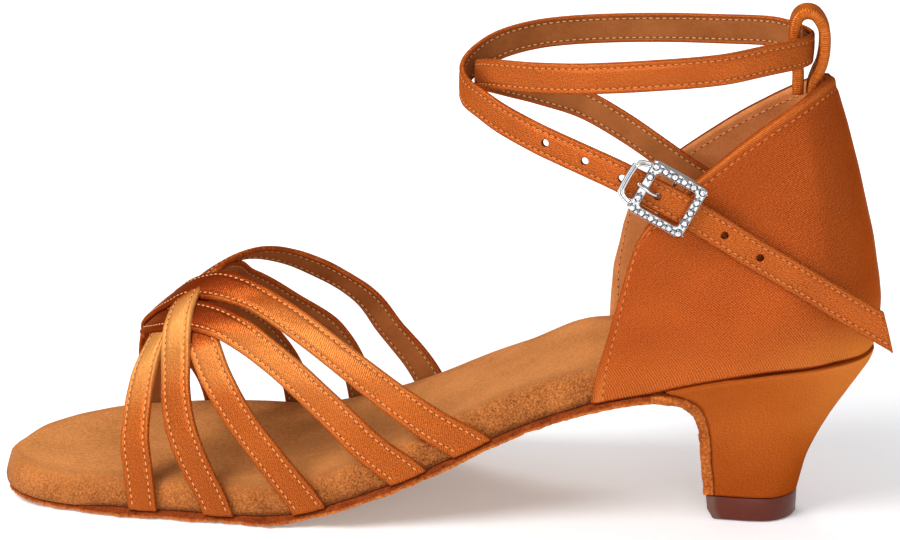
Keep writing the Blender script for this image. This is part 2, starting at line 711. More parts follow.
def satin_ribs():
    # Diagonal ribs of the weave over a cloth map in metres, with uneven yarns.
    tree, entry, leave = new_group(
        "satin_ribs",
        (("Cloth", "NodeSocketVector", None), ("Pitch", "NodeSocketFloat", 0.0004),
         ("Slant", "NodeSocketFloat", 0.6)),
        (("Rib", "NodeSocketFloat"), ("Yarn", "NodeSocketFloat"), ("Drift", "NodeSocketFloat")))
    turn = place_nodes(tree, "ShaderNodeVectorRotate", {
        "Vector": (entry, "Cloth"), "Angle": (entry, "Slant")}, rotation_type="Z_AXIS")
    split = place_nodes(tree, "ShaderNodeSeparateXYZ", {"Vector": (turn, "Vector")})
    uneven = place_nodes(tree, "ShaderNodeTexNoise", {
        "Detail": 2.0, "Scale": 900.0, "Vector": (turn, "Vector")})
    shift = maths(tree, "MULTIPLY", (uneven, "Fac"), 0.0003)
    place = maths(tree, "ADD", (split, "X"), shift)
    cycles = maths(tree, "DIVIDE", place, (entry, "Pitch"))
    angle = maths(tree, "MULTIPLY", cycles, 2.0 * math.pi)
    wave = maths(tree, "SINE", angle)
    rib = maths(tree, "MULTIPLY_ADD", wave, 0.5, 0.5)
    stretch = place_nodes(tree, "ShaderNodeMapping", {
        "Scale": (3800.0, 2300.0, 1.0), "Vector": (turn, "Vector")})
    yarn = place_nodes(tree, "ShaderNodeTexNoise", {
        "Scale": 1.0, "Detail": 2.0, "Vector": (stretch, "Vector")})
    drift = place_nodes(tree, "ShaderNodeTexNoise", {
        "Scale": 70.0, "Detail": 2.0, "Vector": (entry, "Cloth")})
    feed(tree, leave, {"Rib": rib, "Yarn": (yarn, "Fac"), "Drift": (drift, "Fac")})
    return tree


RIBS = satin_ribs()


def satin(name, light, dark, pitch=0.00042, slant=0.6, roughness=0.42, depth=0.00005,
          ribbed=0.34, speckle=1.2, press=None, shine=None):
    # Satin shows a light face and darker furrows, and its gloss has the yarn's colour. An
    # attribute deepens the colour where the cloth is tucked in, or lightens it below zero.
    made, tree, shader = new_material(name, roughness, specular=0.0, metallic=0.45,
                                      gloss_tint=(0.75, 0.42, 0.22))
    cloth = place_nodes(tree, "ShaderNodeUVMap", uv_map="cloth")
    ribs = place_nodes(tree, "ShaderNodeGroup", node_tree=RIBS)
    feed(tree, ribs, {"Cloth": (cloth, "UV"), "Pitch": pitch, "Slant": slant})
    face = maths(tree, "MULTIPLY", (ribs, "Rib"), ribbed)
    yarn = maths(tree, "MULTIPLY", (ribs, "Yarn"), speckle)
    level = maths(tree, "ADD", face, yarn)
    drift = maths(tree, "MULTIPLY_ADD", (ribs, "Drift"), 0.3, 0.35 - 0.5 * (ribbed + speckle))
    level = maths(tree, "ADD", level, drift)
    level.use_clamp = True
    mix = blend(tree, level, (*dark, 1.0), (*light, 1.0))
    where = place_nodes(tree, "ShaderNodeAttribute", attribute_name="press")
    for tone, sign in ((press, 1.0), (shine, -1.0)):
        if tone:
            uneven = maths(tree, "MULTIPLY_ADD", level, -0.9 * sign, 1.0 + 0.35 * sign)
            amount = maths(tree, "MULTIPLY", (where, "Fac"), sign)
            amount = maths(tree, "MULTIPLY", amount, uneven)
            amount.use_clamp = True
            mix = blend(tree, amount, (mix, 2), (*tone, 1.0))
    feed(tree, shader, {"Base Color": (mix, 2)})
    height = maths(tree, "ADD", (ribs, "Rib"), (ribs, "Yarn"))
    bumped(tree, shader, height, depth)
    return made


HEEL_SATIN_LIGHT = (0.64, 0.160, 0.026)
HEEL_SATIN_DARK = (0.27, 0.048, 0.007)
HEEL_SATIN_PRESSED = (0.28, 0.046, 0.004)
HEEL_SATIN_SHINE = (0.74, 0.25, 0.055)


def heel_outline(place, front, back, width):
    # Outline of the seat squeezed to one level of the heel. Place runs from the outer
    # breast corner round the back to the inner one.
    base = along(HEEL[-1][1])
    sweep = np.abs(place)
    station = base + (REAR - base) * np.sin(0.5 * np.pi * (1.0 - sweep))
    x = front + (station - base) / (REAR - base) * (back - front)
    y = np.where(place < 0.0, -outer_half(station), inner_half(station)) * width
    return x, y


def heel_grid(levels, around):
    place = np.linspace(-1.0, 1.0, around)
    rows = []
    for share in levels:
        x, y = heel_outline(place, along(heel_breast(share)), along(heel_back(share)),
                            heel_width(share))
        rows.append(np.stack([x, y, heel_point(share, x)], 1))
    return np.array(rows)


def cloth_lengths(grid):
    # Metres along the rows and the columns of a grid, for its cloth map.
    across = np.linalg.norm(np.diff(grid, axis=1), axis=2)
    down = np.linalg.norm(np.diff(grid, axis=0), axis=2)
    u = np.concatenate((np.zeros((grid.shape[0], 1)), np.cumsum(across, axis=1)), axis=1)
    v = np.concatenate((np.zeros((1, grid.shape[1])), np.cumsum(down, axis=0)), axis=0)
    u -= u[:, -1:] * 0.5
    return np.stack([u, v], 2)


heel_satin = satin("heel_satin", HEEL_SATIN_LIGHT, HEEL_SATIN_DARK, slant=0.2, roughness=0.38,
                   depth=0.00004, speckle=1.9, press=HEEL_SATIN_PRESSED, shine=HEEL_SATIN_SHINE)
heel_levels = np.concatenate((np.linspace(0.0, 0.97, 56), [0.985, 0.995, 1.0]))
heel_points = heel_grid(heel_levels, 97)
heel_cloth = cloth_lengths(heel_points)
heel_cloth = np.concatenate((heel_cloth, heel_cloth[:, :1]), axis=1)
heel_block = cloth_object("heel_block", heel_points, [heel_satin], cloth=heel_cloth)
heel_press = (0.85 * (1.0 - ease(heel_levels / 0.6))[:, None]
              - 0.7 * ease(1.2 - 1.6 * np.abs(np.linspace(-1.0, 1.0, 97)))[None] * heel_levels[:, None])
heel_press[heel_levels > 0.99] = 0.8
mark(heel_block.data, "press", heel_press)
finish_piece(heel_block, "heel", "heel")

# Top lift
# The hard wearing plate nailed on under the heel, cut a little proud of the breast.
LIFT_DARK = (0.078, 0.0095, 0.0040)
LIFT_LIGHT = (0.106, 0.0150, 0.0070)
LIFT_WORN = (0.13, 0.060, 0.045)


def speckle_of(tree, scale, low, high, detail=2.0):
    # Two colours mottled by a noise over the object's own place, with that noise.
    place = place_nodes(tree, "ShaderNodeTexCoord")
    noise = place_nodes(tree, "ShaderNodeTexNoise", {
        "Vector": (place, "Object"), "Scale": scale, "Detail": detail})
    return blend(tree, (noise, "Fac"), (*low, 1.0), (*high, 1.0)), noise


lift_plastic, lift_tree, lift_shader = new_material("lift_plastic", 0.30, specular=0.4,
                                                    gloss_tint=(1.0, 0.75, 0.65))
lift_tint, lift_noise = speckle_of(lift_tree, 900.0, LIFT_DARK, LIFT_LIGHT, detail=4.0)
lift_worn = place_nodes(lift_tree, "ShaderNodeAttribute", attribute_name="worn")
lift_color = blend(lift_tree, (lift_worn, "Fac"), (lift_tint, 2), (*LIFT_WORN, 1.0))
feed(lift_tree, lift_shader, {"Base Color": (lift_color, 2)})
bumped(lift_tree, lift_shader, (lift_noise, "Fac"), 0.00002)


def lift_grid():
    rows = []
    place = np.linspace(-1.0, 1.0, 97)
    levels = ((LIFT_THICKNESS, 0.9, 0.0006), (LIFT_THICKNESS, 1.0, 0.0001),
              (LIFT_THICKNESS - 0.0002, 1.0, 0.0), (0.45 * LIFT_THICKNESS, 0.8, 0.0),
              (0.0004, 0.1, 0.0), (0.0001, 0.02, 0.0002), (0.0, 0.0, 0.0005))
    for z, lead, inset in levels:
        front = along(HEEL[0][1]) - lead * OUTSOLE_THICKNESS + inset
        x, y = heel_outline(place, front, along(HEEL[0][2]) - inset, HEEL[0][3])
        y = y * (1.0 - inset / (0.5 * BALL_WIDTH * HEEL[0][3]))
        rows.append(np.stack([x, y, np.full_like(x, z)], 1))
    return np.array(rows)


lift = cloth_object("heel_lift", lift_grid(), [lift_plastic])
lift_edge = np.clip((np.abs(np.linspace(-1.0, 1.0, 97)) - 0.93) / 0.02, 0.0, 1.0)
mark(lift.data, "worn", np.tile(lift_edge, 7))
finish_piece(lift, "top_lift", "top_lift")

# Counter
# A stiffened satin quarter lasted round the heel and lined with brown suede. Its top and
# front edges are turned in and sewn through, and its lower edge is pulled under the seat.

# Shape of the counter from the seat to the collar.
# Columns: share of the collar height, back, outer front and inner front as shares of
# the length, width as a share of the seat outline.
COUNTER = (
    (-0.203, 0.009, 0.313, 0.307, 1.000),
    (-0.092, 0.005, 0.309, 0.306, 1.000),
    (-0.008, 0.001, 0.303, 0.306, 1.000),
    (0.075, -0.005, 0.296, 0.305, 1.018),
    (0.158, -0.005, 0.290, 0.303, 1.035),
    (0.242, -0.002, 0.284, 0.298, 1.018),
    (0.325, 0.003, 0.278, 0.293, 1.000),
    (0.408, 0.008, 0.272, 0.287, 0.965),
    (0.492, 0.015, 0.265, 0.283, 0.930),
    (0.575, 0.022, 0.262, 0.283, 0.865),
    (0.658, 0.029, 0.261, 0.283, 0.800),
    (0.742, 0.037, 0.260, 0.283, 0.716),
    (0.825, 0.045, 0.260, 0.283, 0.630),
    (0.908, 0.054, 0.260, 0.283, 0.540),
    (1.012, 0.065, 0.260, 0.283, 0.460),
)

# Collar line.
# Columns: share of the way from the back to the front edge, share of the collar height.
COLLAR = (
    (0.000, 0.994),
    (0.065, 0.976),
    (0.143, 0.949),
    (0.245, 0.911),
    (0.342, 0.874),
    (0.492, 0.808),
    (0.643, 0.728),
    (0.779, 0.644),
    (0.866, 0.582),
    (0.950, 0.512),
    (0.985, 0.460),
    (1.000, 0.410),
)
COUNTER_SEAM_INSET = 0.0030

# Low relief of the counter: the pull of its seam, the small folds where the satin is
# lasted under, its rolled top and front edges, its tucked lower edge, and its lining.
SEAM_SPREAD = 0.0007
SEAM_DEPTH = 0.00028
FOLD_PITCH = 260.0
FOLD_HEIGHT = 0.0035
FOLD_DEPTH = 0.00016
EDGE_ROLL = 0.0009
ROLL_DEPTH = 0.0007
EDGE_TUCK = 0.0010
TUCK_DEPTH = 0.0002
LINING_INSET = 0.0002
LINING_ROLL = 0.0006
counter_back = smooth(COUNTER, 1)
counter_outer_front = smooth(COUNTER, 2)
counter_inner_front = smooth(COUNTER, 3)
counter_width = smooth(COUNTER, 4)
collar = smooth(COLLAR)
COUNTER_BASE = along(COUNTER[2][2])


def counter_surface(place, height):
    # Place runs from -1 at the outer front edge through 0 at the back to 1 at the inner
    # front edge, height is a share of the collar height.
    reach = np.abs(place)
    seat_x = REAR - reach * (REAR - COUNTER_BASE)
    half = np.where(place < 0.0, outer_half(seat_x), inner_half(seat_x))
    back = along(counter_back(height))
    front = along(np.where(place < 0.0, counter_outer_front(height), counter_inner_front(height)))
    x = back - reach * (back - front)
    y = np.sign(place) * (half - GAP) * counter_width(height)
    y = np.where(reach < 1e-9, 0.0, y)
    return np.stack([x, y, HEEL_HEIGHT + height * COLLAR_HEIGHT], -1)


def counter_grid(rows, steps):
    spread = np.linspace(0.0, 1.0, steps)
    reach = 0.45 * spread ** 2.2 + 0.55 * spread
    place = np.concatenate((-reach[::-1], reach[1:]))
    low = np.zeros_like(place)
    for _ in range(12):
        x = counter_surface(place, low)[..., 0]
        low = (joint(x) + GAP - HEEL_HEIGHT) / COLLAR_HEIGHT
    high = collar(np.abs(place))
    level = np.linspace(0.0, 1.0, rows)[:, None]
    height = low + (high - low) * level
    return counter_surface(np.broadcast_to(place, height.shape), height)


def surface_normals(grid):
    over = np.gradient(grid, axis=1)
    up = np.gradient(grid, axis=0)
    normal = np.cross(over, up)
    return normal / np.maximum(np.linalg.norm(normal, axis=2), 1e-12)[..., None]


COUNTER_SATIN_LIGHT = (0.57, 0.118, 0.022)
COUNTER_SATIN_DARK = (0.17, 0.024, 0.004)
COUNTER_SATIN_PRESSED = (0.22, 0.032, 0.005)
COUNTER_SATIN_SHINE = (0.66, 0.21, 0.042)
LINING_LIGHT = (0.37, 0.125, 0.036)
LINING_DARK = (0.20, 0.058, 0.014)
QUARTER_LIGHT = (0.76, 0.30, 0.102)
QUARTER_DARK = (0.44, 0.15, 0.043)
counter_satin = satin("counter_satin", COUNTER_SATIN_LIGHT, COUNTER_SATIN_DARK, slant=-0.70,
                      pitch=0.00054, depth=0.00006, ribbed=0.50, speckle=2.1,
                      press=COUNTER_SATIN_PRESSED, shine=COUNTER_SATIN_SHINE)
lining_suede = suede("lining_suede", LINING_LIGHT, LINING_DARK, grain=0.0005, patch=0.010,
                     contrast=0.8, depth=0.0001, sheen=0.4)
quarter_suede = suede("quarter_suede", QUARTER_LIGHT, QUARTER_DARK, grain=0.0006, patch=0.008,
                      contrast=1.0, depth=0.0001, sheen=0.6)
shell = counter_grid(92, 66)
normals = surface_normals(shell)
cloth_map = cloth_lengths(shell)
from_top = cloth_map[-1:, :, 1] - cloth_map[:, :, 1]
edge_run = np.linalg.norm(np.diff(shell, axis=1), axis=2)
from_outer = np.concatenate((np.zeros((shell.shape[0], 1)), np.cumsum(edge_run, axis=1)), axis=1)
from_front = np.minimum(from_outer, from_outer[:, -1:] - from_outer)
edge_distance = np.minimum(from_top, from_front)
seam_pull = np.exp(-((edge_distance - COUNTER_SEAM_INSET) / SEAM_SPREAD) ** 2)
from_bottom = cloth_map[:, :, 1]
fold_phase = from_outer * FOLD_PITCH
folds = np.sin(fold_phase + 1.3 * np.sin(fold_phase * 0.37)) * np.exp(-from_bottom / FOLD_HEIGHT)
rolled = np.clip(1.0 - edge_distance / EDGE_ROLL, 0.0, 1.0) ** 2
tucked = np.clip(1.0 - from_bottom / EDGE_TUCK, 0.0, 1.0) ** 2
relief = FOLD_DEPTH * folds - SEAM_DEPTH * seam_pull - ROLL_DEPTH * rolled - TUCK_DEPTH * tucked
outer_shell = shell + normals * relief[..., None]
lining = shell - normals * (WALL - LINING_INSET - LINING_ROLL * rolled)[..., None]
lining[0, :, 2] = np.maximum(lining[0, :, 2], joint(lining[0, :, 0]) + GAP)


def counter_ring_grid():
    # Each column goes up the satin, over the turned edge and down the lining.
    rim = 0.5 * (outer_shell[-1] + lining[-1])
    rim = rim + unit(shell[-1] - shell[-2]) * 0.0005
    columns = np.concatenate((outer_shell, rim[None], lining[::-1]))
    return columns.transpose(1, 0, 2)


counter_columns = counter_ring_grid()
rows_up = shell.shape[0]
counter_cloth = np.zeros(counter_columns.shape[:2] + (2,))
counter_cloth[:, :rows_up] = cloth_map.transpose(1, 0, 2)
counter_cloth[:, rows_up] = counter_cloth[:, rows_up - 1] + (0.0, 0.001)
counter_cloth[:, rows_up + 1:] = cloth_map.transpose(1, 0, 2)[:, ::-1] + (0.0, 0.02)
counter_cloth = np.concatenate((counter_cloth, counter_cloth[:, :1]), axis=1)
counter_bands = np.ones(counter_columns.shape[1], np.int32)
counter_bands[:rows_up + 1] = 0
counter_piece = cloth_object("counter_shell", counter_columns, [counter_satin, quarter_suede],
                             cloth=counter_cloth, bands=counter_bands)
height_share = np.linspace(0.0, 1.0, rows_up)[:, None]
bright_band = 0.45 * np.exp(-((edge_distance - 0.0011) / 0.0009) ** 4)
round_back = 1.0 - ease(np.abs(2.0 * from_outer / from_outer[:, -1:] - 1.0) / 0.6)
low_sheen = (0.12 + 0.7 * round_back) * np.exp(-(from_bottom / 0.010) ** 2)
counter_tone = 0.18 * ease((height_share - 0.2) / 0.7) - bright_band - low_sheen
counter_tone[0] = 0.7
counter_press = np.zeros(counter_columns.shape[:2])
counter_press[:, :rows_up] = counter_tone.T
mark(counter_piece.data, "press", counter_press)
finish_piece(counter_piece, "counter", "counter")


def sewing_tree():
    # A row of stitches along a line of points, with a needle hole between each two.
    tree, entry, leave = geometry_tree("sewn_row", (
        ("Pitch", "NodeSocketFloat", 0.0015), ("Stitch Length", "NodeSocketFloat", 0.0011),
        ("Thread Width", "NodeSocketFloat", 0.0003), ("Hole Width", "NodeSocketFloat", 0.00035),
        ("Hole Length", "NodeSocketFloat", 0.0006),
        ("Thread", "NodeSocketMaterial", None), ("Hole", "NodeSocketMaterial", None)))
    curve = place_nodes(tree, "GeometryNodeMeshToCurve", {"Mesh": (entry, "Geometry")})
    spaced = place_nodes(tree, "GeometryNodeResampleCurve", mode="LENGTH")
    feed(tree, spaced, {"Curve": (curve, "Curve"), "Length": (entry, "Pitch")})
    outward = place_nodes(tree, "GeometryNodeInputNamedAttribute", {"Name": "outward"},
                          data_type="FLOAT_VECTOR")
    tangent = place_nodes(tree, "GeometryNodeInputTangent")
    turn = place_nodes(tree, "FunctionNodeAxesToRotation", {0: outward, 1: tangent},
                       primary_axis="Z", secondary_axis="X")
    half_pitch = maths(tree, "MULTIPLY", (entry, "Pitch"), 0.5)
    step = place_nodes(tree, "ShaderNodeVectorMath", {0: tangent, "Scale": half_pitch},
                       operation="SCALE")
    shifted = place_nodes(tree, "GeometryNodeSetPosition", {
        "Geometry": (spaced, "Curve"), "Offset": step})
    join = place_nodes(tree, "GeometryNodeJoinGeometry")
    for points, socket, long, wide, flat, slot in (
            (spaced, "Curve", "Stitch Length", "Thread Width", 0.9, "Thread"),
            (shifted, "Geometry", "Hole Length", "Hole Width", 0.35, "Hole")):
        shape = place_nodes(tree, "GeometryNodeMeshUVSphere", {
            "Segments": 6, "Rings": 4, "Radius": 0.5})
        thick = maths(tree, "MULTIPLY", (entry, wide), flat)
        size = place_nodes(tree, "ShaderNodeCombineXYZ", {
            "X": (entry, long), "Y": (entry, wide), "Z": thick})
        scaled = place_nodes(tree, "GeometryNodeTransform", {
            "Geometry": (shape, "Mesh"), "Scale": (size, "Vector")})
        place = place_nodes(tree, "GeometryNodeInstanceOnPoints", {
            "Points": (points, socket), "Instance": (scaled, "Geometry"), "Rotation": turn})
        feed(tree, join, {"Geometry": painted(tree, place, "Instances", entry, slot)})
    feed(tree, leave, {"Geometry": (join, "Geometry")})
    return tree


SEWING = sewing_tree()


def twisted_thread(name, light, dark):
    made, tree, shader = new_material(name, 0.55, specular=0.2, sheen=0.1, sheen_tint=light,
                                      gloss_tint=SUEDE_GLOSS)
    mix, _ = speckle_of(tree, 2400.0, dark, light)
    feed(tree, shader, {"Base Color": (mix, 2)})
    return made


thread = twisted_thread("satin_thread", (0.88, 0.42, 0.16), (0.62, 0.23, 0.07))
pale_thread = twisted_thread("lining_thread", (0.78, 0.42, 0.19), (0.50, 0.22, 0.08))
counter_thread = twisted_thread("counter_thread", (0.66, 0.25, 0.080), (0.44, 0.14, 0.038))
needle_hole = twisted_thread("needle_hole", (0.20, 0.036, 0.008), (0.10, 0.016, 0.004))


# Columns: pitch, length of a stitch, width of the thread, width of a needle hole.
COUNTER_STITCH = (0.0021, 0.0013, 0.00034, 0.00040)
COUNTER_LINING_STITCH = (0.0021, 0.0013, 0.00036, 0.00042)
STRAP_STITCH = (0.0018, 0.00125, 0.00040, 0.00034)
STRAP_LINING_STITCH = (0.0018, 0.00125, 0.00036, 0.00036)


def sew(name, lines, slot, thread_material, stitch):
    # Lines are (points, outward directions) pairs that lie on the cloth's face.
    pitch, length, width, hole = stitch
    points = np.concatenate([line for line, _ in lines])
    outward = np.concatenate([out for _, out in lines])
    edges = []
    base = 0
    for line, _ in lines:
        edges += [(base + k, base + k + 1) for k in range(len(line) - 1)]
        base += len(line)
    mesh = bpy.data.meshes.new(name)
    mesh.from_pydata(points.tolist(), edges, [])
    mesh.attributes.new("outward", "FLOAT_VECTOR", "POINT").data.foreach_set("vector",
                                                                            outward.ravel())
    made = add_object(name, mesh)
    grow(made, SEWING, pitch=pitch, stitch_length=length, thread_width=width, hole_width=hole,
         hole_length=1.5 * hole, thread=thread_material, hole=needle_hole)
    finish_piece(made, slot)
    return made


def counter_seam(surface, sign):
    # A line at a fixed distance from the front and top edges, over one face of the counter.
    rows, columns = surface.shape[:2]
    points, out = [], []
    first = [int(np.argmax(from_outer[r] > COUNTER_SEAM_INSET)) for r in range(rows)]
    last = [columns - 1 - int(np.argmax((from_outer[r, -1] - from_outer[r])[::-1]
                                        > COUNTER_SEAM_INSET)) for r in range(rows)]

    def between(target, distance):
        k = int(np.searchsorted(distance, target))
        k = min(max(k, 1), len(distance) - 1)
        part = (target - distance[k - 1]) / (distance[k] - distance[k - 1])
        return k - 1, part

    def take(r, c, part, by_row):
        r2, c2 = (r + 1, c) if by_row else (r, c + 1)
        r2, c2 = min(r2, rows - 1), min(c2, columns - 1)
        points.append(surface[r, c] * (1.0 - part) + surface[r2, c2] * part)
        out.append(normals[r, c] * sign)

    corner_rows = [r for r in range(2, rows) if from_top[r, first[r]] > COUNTER_SEAM_INSET]
    for r in corner_rows:
        k, part = between(COUNTER_SEAM_INSET, from_outer[r])
        take(r, k, part, False)
    for c in range(first[corner_rows[-1]] + 1, last[rows - 8]):
        k, part = between(from_top[0, c] - COUNTER_SEAM_INSET, from_top[0, c] - from_top[:, c])
        take(k, c, part, True)
    end_rows = [r for r in range(2, rows) if from_top[r, last[r]] > COUNTER_SEAM_INSET]
    for r in end_rows[::-1]:
        distance = from_outer[r, -1] - from_outer[r][::-1]
        k, part = between(COUNTER_SEAM_INSET, distance)
        take(r, columns - 2 - k, 1.0 - part, False)
    return np.array(points), np.array(out)


sew("counter_seam", [counter_seam(outer_shell, 1.0)], "counter", counter_thread,
    COUNTER_STITCH)
sew("counter_lining_seam", [counter_seam(lining, -1.0)], "counter", pale_thread,
    COUNTER_LINING_STITCH)

# Toe straps
# Five folded satin straps lined with suede and sewn near both edges. They run from the
# joint on one side, weave over and under each other at the knot and down the other side.
STRAP_WIDTH = 0.0078
STRAP_SEAM_INSET = 0.0014
SEAM_HEIGHT = 0.5 * STRAP_THICKNESS - 0.00012

# Crest of the arch that the straps follow.
# Columns: share of the length from the heel, share of the instep height.
CREST = (
    (0.914, 0.395),
    (0.885, 0.480),
    (0.859, 0.560),
    (0.833, 0.647),
    (0.808, 0.727),
    (0.786, 0.801),
    (0.765, 0.857),
    (0.739, 0.909),
    (0.709, 0.943),
    (0.680, 0.955),
    (0.640, 0.960),
    (0.594, 0.948),
    (0.530, 0.922),
    (0.466, 0.900),
    (0.380, 0.883),
)

# Middle lines of the straps, counted from the toe on the outer side: shares of the length
# from the heel at each share of the way over the arch from the outer to the inner side.
WAYS = (0.000, 0.060, 0.120, 0.190, 0.260, 0.330, 0.400, 0.470, 0.540, 0.620, 0.700, 0.780, 0.860,
        0.930, 1.000)
STRANDS = [tuple(zip(WAYS, places)) for places in (
    (0.815, 0.820, 0.825, 0.825, 0.824, 0.820, 0.811, 0.790, 0.758, 0.714, 0.659, 0.608, 0.576,
     0.543, 0.515),
    (0.727, 0.754, 0.771, 0.780, 0.782, 0.781, 0.777, 0.772, 0.767, 0.760, 0.750, 0.714, 0.654,
     0.624, 0.610),
    (0.623, 0.664, 0.702, 0.732, 0.751, 0.767, 0.777, 0.787, 0.794, 0.797, 0.795, 0.776, 0.737,
     0.705, 0.692),
    (0.513, 0.556, 0.595, 0.646, 0.704, 0.759, 0.799, 0.827, 0.840, 0.849, 0.846, 0.832, 0.816,
     0.802, 0.792),
    (0.443, 0.481, 0.520, 0.570, 0.626, 0.685, 0.747, 0.797, 0.832, 0.848, 0.858, 0.865, 0.869,
     0.868, 0.865),
)]

# How far each strap rides over the others in the weave.
# Columns: share of the way over the arch, lift in strap thicknesses.
WEAVE = (
    ((0.0, 0.0), (0.38, 0.0), (0.42, 0.3), (0.47, 0.5), (0.52, 0.85), (0.60, 0.85), (0.72, 0.0),
     (1.0, 0.0)),
    ((0.0, 0.0), (0.21, 0.0), (0.29, 1.0), (0.35, 1.7), (0.395, 1.7), (0.45, 0.85), (0.55, 0.25),
     (0.67, 0.0), (1.0, 0.0)),
    ((0.0, 0.0), (1.0, 0.0)),
    ((0.0, 0.0), (0.22, 0.0), (0.29, 0.85), (0.46, 0.85), (0.56, 0.0), (1.0, 0.0)),
    ((0.0, 0.0), (0.34, 0.0), (0.42, 1.7), (0.51, 1.7), (0.61, 0.85), (0.74, 0.85), (0.86, 0.0),
     (1.0, 0.0)),
)

# Where each strap is tucked under or pressed by another, which deepens its colour.
# Columns: share of the way over the arch, depth of the colour.
PRESS = (
    ((0.0, 0.20), (0.08, 0.18), (0.16, 0.0), (0.25, -0.5), (0.33, -0.9), (0.385, -0.8), (0.41, 0.6),
     (0.56, 0.7), (0.66, 0.3), (1.0, 0.25)),
    ((0.0, 0.32), (0.10, 0.26), (0.17, 0.1), (0.25, -0.4), (0.34, -0.9), (0.385, -0.6), (0.42, 0.6),
     (0.52, 0.7), (0.66, 0.3), (1.0, 0.25)),
    ((0.0, 0.26), (0.08, 0.20), (0.14, 0.1), (0.20, -0.3), (0.25, -0.35), (0.275, 0.8), (0.30, 1.4),
     (0.55, 0.7), (0.66, 0.3), (1.0, 0.25)),
    ((0.0, 0.08), (0.06, 0.06), (0.14, -0.1), (0.21, -0.3), (0.265, -0.15), (0.29, 0.6), (0.31, 1.4),
     (0.38, 1.8), (0.46, 0.9), (0.66, 0.3), (1.0, 0.25)),
    ((0.0, 0.10), (0.06, 0.06), (0.16, -0.1), (0.25, -0.3), (0.32, -0.1), (0.355, 0.4), (0.385, 1.4),
     (0.44, 1.8), (0.50, 0.8), (0.66, 0.3), (1.0, 0.25)),
)
crest = smooth(CREST, flowing=True)


def arch(x, share):
    # Point over the arch at a place along the shoe, from the outer joint to the inner one.
    half = np.where(share < 0.5, outer_half(x), inner_half(x))
    half = half - bed_inset(x) + 2.3 * GAP + 0.5 * STRAP_THICKNESS
    foot = joint(x) + GAP
    rise = INSTEP_HEIGHT * crest(share_at(x)) - foot
    turn = np.cos(np.pi * share)
    y = -half * np.sign(turn) * np.abs(turn) ** 0.85
    z = foot + rise * np.clip(np.sin(np.pi * share), 0.0, 1.0) ** 0.85
    return np.stack([x, y, z], -1)


def arch_normal(x, share):
    low = np.clip(share - 0.01, 0.0, 1.0)
    high = np.clip(share + 0.01, 0.0, 1.0)
    over = arch(x, high) - arch(x, low)
    forward = arch(x - 0.001, share) - arch(x + 0.001, share)
    return unit(np.cross(over, forward))


def strap_profile(width, thickness):
    # Half turn at each folded edge, a crowned satin face pulled down at its two seams,
    # and a lining face set in a little. Columns: place across, height, and 1 on the lining.
    half, rise = 0.5 * width, 0.5 * thickness
    fold = min(rise, 0.0007)
    turns = np.linspace(-0.5 * np.pi, 0.5 * np.pi, 6)

    def pull(place):
        return math.exp(-((abs(place) - (half - STRAP_SEAM_INSET)) / 0.00045) ** 2)

    rows = []
    for a in turns:
        rows.append((-half + fold - fold * math.cos(a), rise * math.sin(a), 0))
    for s in np.linspace(-1.0, 1.0, 23)[1:-1]:
        place = s * (half - fold)
        rows.append((place, rise + 0.00010 * (1.0 - s * s) - 0.00022 * pull(place), 0))
    for a in turns[::-1]:
        rows.append((half - fold + fold * math.cos(a), rise * math.sin(a), 0))
    for s in np.linspace(1.0, -1.0, 19):
        place = s * (half - fold - 0.0001)
        rows.append((place, -rise + 0.00018 + 0.00012 * pull(place), 1))
    return np.array(rows)


def ribbon(name, profile, line, flat, materials):
    # A folded strap whose runs come from line(across, rise), over the flat cloth's lengths.
    columns = [line(across, rise) for across, rise, _ in profile]
    cloth = [np.stack([flat(across), np.full(len(columns[0]), across)], 1) for across, _, _ in profile]
    cloth.append(cloth[0] + (0.0, 0.02))
    bands = (profile[:, 2] > 0.5).astype(np.int32) * (len(materials) - 1)
    return cloth_object(name, np.stack(columns, 1), materials, cloth=np.stack(cloth, 1), bands=bands)


STRAP_PROFILE = strap_profile(STRAP_WIDTH, STRAP_THICKNESS)
STRAP_SATIN_LIGHT = (0.66, 0.165, 0.030)
STRAP_SATIN_DARK = (0.20, 0.030, 0.005)
STRAP_SATIN_PRESSED = (0.17, 0.024, 0.0045)
STRAP_SATIN_SHINE = (0.64, 0.265, 0.070)
strap_satin = satin("strap_satin", STRAP_SATIN_LIGHT, STRAP_SATIN_DARK, slant=0.7, pitch=0.00045,
                    roughness=0.36, depth=0.00006, speckle=2.2, press=STRAP_SATIN_PRESSED,
                    shine=STRAP_SATIN_SHINE)


def lengths_along(path):
    return np.concatenate(([0.0], np.cumsum(np.linalg.norm(np.diff(path, axis=0), axis=1))))


def strand_frame(index, steps):
    # Shares, middle places and slant of one strap, evenly spaced along it.
    middle = smooth(STRANDS[index], flowing=True)
    share = np.linspace(0.0, 1.0, 1201)
    path = arch(along(middle(share)), share)
    length = lengths_along(path)
    even = np.interp(np.linspace(0.0, length[-1], steps), length, share)
    x = along(middle(even))
    low, high = np.clip(even - 0.012, 0.0, 1.0), np.clip(even + 0.012, 0.0, 1.0)
    run = along(middle(high)) - along(middle(low))
    arc = np.linalg.norm(arch(x, high) - arch(x, low), axis=1)
    return even, x, run / arc, np.linspace(0.0, length[-1], steps)


def strand_place(x, slant, across):
    # Place along the shoe of a run that lies across from the slanted strap's middle.
    return x + across * np.minimum(np.sqrt(1.0 + slant ** 2), 2.1)


def strand_point(index, share, x, slant, across, rise):
    # One run of points along the strap at a place across it and a height off its middle.
    place = strand_place(x, slant, across)
    lifted = smooth(WEAVE[index])(share) * STRAP_THICKNESS
    return arch(place, share) + arch_normal(place, share) * (lifted + rise)[..., None]


